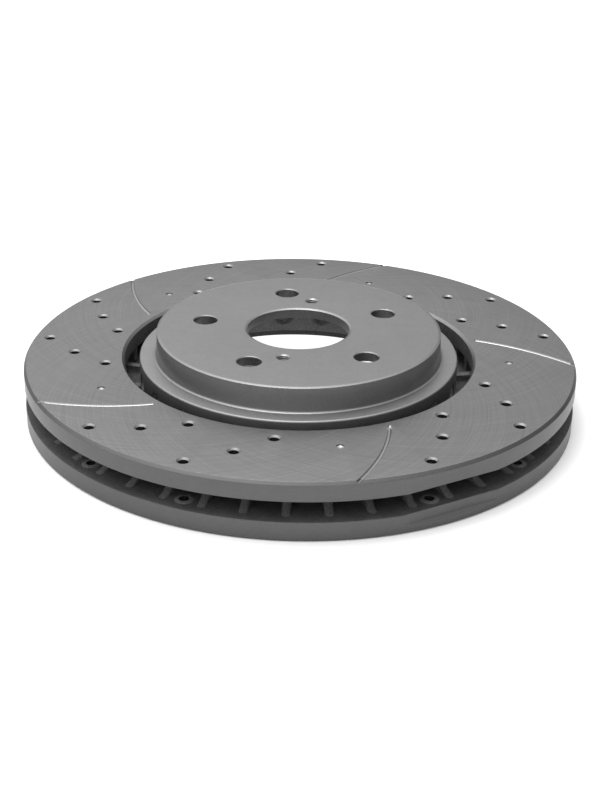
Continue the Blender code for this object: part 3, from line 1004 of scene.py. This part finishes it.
# %% Drill the hat
STUD_COUNT = 5
STUD_CIRCLE = 114.3 * MM / 2
STUD_HOLE_RADIUS = 7.1 * MM
STUD_START = 169.3
STUD_SINK = 0.5 * MM
JACK_CIRCLE = 44.5 * MM
JACK_START = 79.3
JACK_COUNT = 2
THREAD_LEAD_IN = 0.3 * MM
THREAD_RUN_OUT = 0.4 * MM
THREAD_MOUTH = 0.25 * MM   # how much wider than the thread its mouth is
THREAD_MAJOR = 4.0 * MM
THREAD_MINOR = 3.4 * MM
THREAD_PITCH = 1.25 * MM
STUD_SIDES = 48

stud_profile = [
    (-CLEARANCE, STUD_HOLE_RADIUS + STUD_SINK + CLEARANCE),
    (STUD_SINK, STUD_HOLE_RADIUS),
    (HAT_PLATE - STUD_SINK, STUD_HOLE_RADIUS),
    (HAT_PLATE, STUD_HOLE_RADIUS + STUD_SINK),
    (HAT_PLATE + CLEARANCE, STUD_HOLE_RADIUS + STUD_SINK + CLEARANCE),
]
thread_profile = [(-CLEARANCE, THREAD_MAJOR + CLEARANCE), (THREAD_LEAD_IN, THREAD_MINOR)]
ridge = THREAD_LEAD_IN
while ridge + THREAD_PITCH < HAT_PLATE - THREAD_RUN_OUT:
    thread_profile.append((ridge + THREAD_PITCH / 2, THREAD_MAJOR))
    thread_profile.append((ridge + THREAD_PITCH, THREAD_MINOR))
    ridge += THREAD_PITCH
thread_profile.append((HAT_PLATE, THREAD_MAJOR + THREAD_MOUTH))
thread_profile.append((HAT_PLATE + CLEARANCE, THREAD_MAJOR + CLEARANCE))

hat_tools = bmesh.new()
for stud_number in range(STUD_COUNT):
    stud_angle = STUD_START + stud_number * 360.0 / STUD_COUNT
    add_drill(hat_tools, polar(STUD_CIRCLE, stud_angle, PLATE_UNDERSIDE), UP, stud_profile, STUD_SIDES)
for jack_number in range(JACK_COUNT):
    jack_angle = JACK_START + jack_number * 360.0 / JACK_COUNT
    add_drill(hat_tools, polar(JACK_CIRCLE, jack_angle, PLATE_UNDERSIDE), UP, thread_profile)
machine(hat_shell, hat_tools)


NOT_UPWARD = 0.2           # normals with less lift than this look sideways or down


def hat_rule(centre, normal):
    """0 coated outside, 1 raw inside, 2 walls of the bore and the bolt holes, darkened as painted shade.
    """
    radius = centre.xy.length
    if centre.z < PLATE_UNDERSIDE + SKIN and normal.z < NOT_UPWARD and radius < HAT_INNER_RADIUS + SKIN:
        return 1
    below_edge_break = centre.z < DISC_HEIGHT - BORE_CHAMFER_DEPTH
    if centre.z > PLATE_UNDERSIDE + SKIN and below_edge_break and radius < HAT_INNER_RADIUS:
        return 2
    return 0


dress(hat_shell, (COAT, INNER_IRON, HOLE_WALL_PAINTED_SHADE), hat_rule)
mount(hat_shell, "coated_hat", "hat")

# %% [markdown]
# ## Floor
# The disc lies on its inboard face on a pale table that glows a very little, like a light table turned
# down low, so that a soft contact shadow is left under the rim.  Inside the inboard ring the hat would
# keep all light off the table, and the bore would look down on grey.  A band of the table there glows
# at full strength, and shows white through the bore.  Its outer edge lies under the ring and its
# inner edge under the hat, so the band is only seen through the bore and, faintly, a stud hole.

# %% Make the table
FLOOR_HALF_SIZE = 6.0
FLOOR_DROP = 0.02 * MM     # keeps table and friction face apart
FLOOR_GLOW = 0.04
FLOOR_SHADE = 0.8
FLOOR_ROUGHNESS = 0.9
FLOOR_GLOSS = 0.1
BAND_RADIUS = 91 * MM      # middle of the bright band
BAND_HALF_WIDTH = 14 * MM
BAND_FADE = 4 * MM
BAND_GLOW = 1.0

floor_data = bmesh.new()
bmesh.ops.create_grid(floor_data, x_segments=8, y_segments=8, size=FLOOR_HALF_SIZE)
floor = make_piece("table", floor_data)
floor.location.z = -FLOOR_DROP
floor_finish = bpy.data.materials.new("pale_table")
floor_finish.use_nodes = True
floor_shader = floor_finish.node_tree.nodes["Principled BSDF"]
floor_shader.inputs["Base Color"].default_value = (FLOOR_SHADE, FLOOR_SHADE, FLOOR_SHADE, 1.0)
floor_shader.inputs["Roughness"].default_value = FLOOR_ROUGHNESS
floor_shader.inputs["Specular IOR Level"].default_value = FLOOR_GLOSS
floor_shader.inputs["Emission Color"].default_value = (1.0, 1.0, 1.0, 1.0)
floor_tree = floor_finish.node_tree
floor_place = put(floor_tree, "TexCoord").outputs["Object"]
floor_radius = put(floor_tree, "VectorMath", {0: floor_place}, operation="LENGTH").outputs["Value"]
past_band = plus(floor_tree, floor_radius, -BAND_RADIUS)
off_band = put(floor_tree, "Math", {0: past_band}, operation="ABSOLUTE").outputs["Value"]
glow = put(floor_tree, "MapRange", {
    "Value": off_band,
    "From Min": BAND_HALF_WIDTH,
    "From Max": BAND_HALF_WIDTH + BAND_FADE,
    "To Min": BAND_GLOW,
    "To Max": FLOOR_GLOW,
})
floor_tree.links.new(glow.outputs["Result"], floor_shader.inputs["Emission Strength"])
floor.data.materials.append(floor_finish)
print("table is", 2 * FLOOR_HALF_SIZE, "metres wide")

# %% [markdown]
# ## Studio light
# Metal shows its surroundings, so the light is mostly a big soft room: dim at the horizon, brighter
# higher up, brightest overhead.  That alone makes level faces mid grey, edges that lean to the front
# bright, and upright walls dark.  The room also grows dimmer from left to right, so that the disc does
# not look flat.  One soft box overhead adds the small highlights in cones and countersinks.

# %% Room and soft box
SKY_STOPS = ((0.0, 0.05), (0.12, 0.25), (0.3, 0.85), (0.5, 1.2), (0.85, 1.9), (1.0, 2.4))
SKY_PEAK = 2.4
NEW_STOP = 0.5             # where a stop is added before it gets its real place
BRIGHT_SIDE = (-0.5, 1.3)  # (sideways part of the direction, brightness factor there)
DARK_SIDE = (0.8, 0.48)

world = bpy.data.worlds.new("studio_room")
bpy.context.scene.world = world
world.use_nodes = True
room = world.node_tree
direction = put(room, "TexCoord").outputs["Generated"]
heading = put(room, "SeparateXYZ", {"Vector": direction})
ramp = put(room, "ValToRGB", {"Fac": heading.outputs["Z"]})
ramp.color_ramp.interpolation = "EASE"
stops = ramp.color_ramp.elements
while len(stops) < len(SKY_STOPS):
    stops.new(NEW_STOP)
for stop, (position, level) in zip(stops, SKY_STOPS):
    stop.position = position
    stop.color = (level / SKY_PEAK, level / SKY_PEAK, level / SKY_PEAK, 1.0)
background = room.nodes["Background"]
side_fall = put(room, "MapRange", {
    "Value": heading.outputs["X"],
    "From Min": BRIGHT_SIDE[0],
    "From Max": DARK_SIDE[0],
    "To Min": BRIGHT_SIDE[1] * SKY_PEAK,
    "To Max": DARK_SIDE[1] * SKY_PEAK,
})
room.links.new(side_fall.outputs["Result"], background.inputs["Strength"])
room.links.new(ramp.outputs["Color"], background.inputs["Color"])

SOFT_BOX_SIZE = 0.8
SOFT_BOX_WATTS = 12.0
SOFT_BOX_PLACE = (-0.15, 0.05, 1.6)
soft_box_light = bpy.data.lights.new("soft_box", "AREA")
soft_box_light.shape = "SQUARE"
soft_box_light.size = SOFT_BOX_SIZE
soft_box_light.energy = SOFT_BOX_WATTS
soft_box = bpy.data.objects.new("soft_box", soft_box_light)
soft_box.location = SOFT_BOX_PLACE
soft_box.rotation_euler = (-soft_box.location).to_track_quat("-Z", "Y").to_euler()
bpy.context.scene.collection.objects.link(soft_box)
bpy.context.scene.view_settings.view_transform = "Standard"
print("soft box stands", round(soft_box.location.length, 2), "metres away")

# %% [markdown]
# ## Camera
# The camera stands about 0.85 m from the disc and 24 degrees above the table, with a lens a little
# longer than normal, and is turned slightly aside.  A shifted lens brings the disc back to the middle
# without turning the camera.  It is all built from plain numbers: stand back from a point on the
# axis, look at it, then pan, tilt and roll.

# %% Place the camera
CAMERA_DISTANCE = 852.85 * MM
CAMERA_ELEVATION = 24.221
AIM_HEIGHT = 25.0 * MM
PAN = 2.82
TILT = -1.481
ROLL = -0.877
LENS_MM = 63.306
SIDE_SHIFT = 0.0904
SENSOR_MM = 36.0
NEAR_LIMIT = 0.05
FAR_LIMIT = 50.0

camera_data = bpy.data.cameras.new("camera")
camera_data.lens = LENS_MM
camera_data.sensor_width = SENSOR_MM
camera_data.shift_x = SIDE_SHIFT
camera_data.clip_start = NEAR_LIMIT
camera_data.clip_end = FAR_LIMIT
camera = bpy.data.objects.new("camera", camera_data)
bpy.context.scene.collection.objects.link(camera)
elevation = math.radians(CAMERA_ELEVATION)
aim = Matrix.Rotation(math.pi / 2 - elevation, 3, "X")
aim = aim @ Matrix.Rotation(math.radians(PAN), 3, "Y")
aim = aim @ Matrix.Rotation(math.radians(TILT), 3, "X")
aim = aim @ Matrix.Rotation(math.radians(-ROLL), 3, "Z")
camera.rotation_euler = aim.to_euler()
back = Vector((0, -math.cos(elevation), math.sin(elevation)))
camera.location = UP * AIM_HEIGHT + back * CAMERA_DISTANCE
bpy.context.scene.camera = camera
print("camera height above the table:", round(camera.location.z, 3), "metres")

# %% [markdown]
# ## Last step
# The scene is brought up to date and the number of finished pieces is printed.

# %% Update and count the pieces
bpy.context.view_layer.update()
print("pieces:", len(ALL_PIECES))
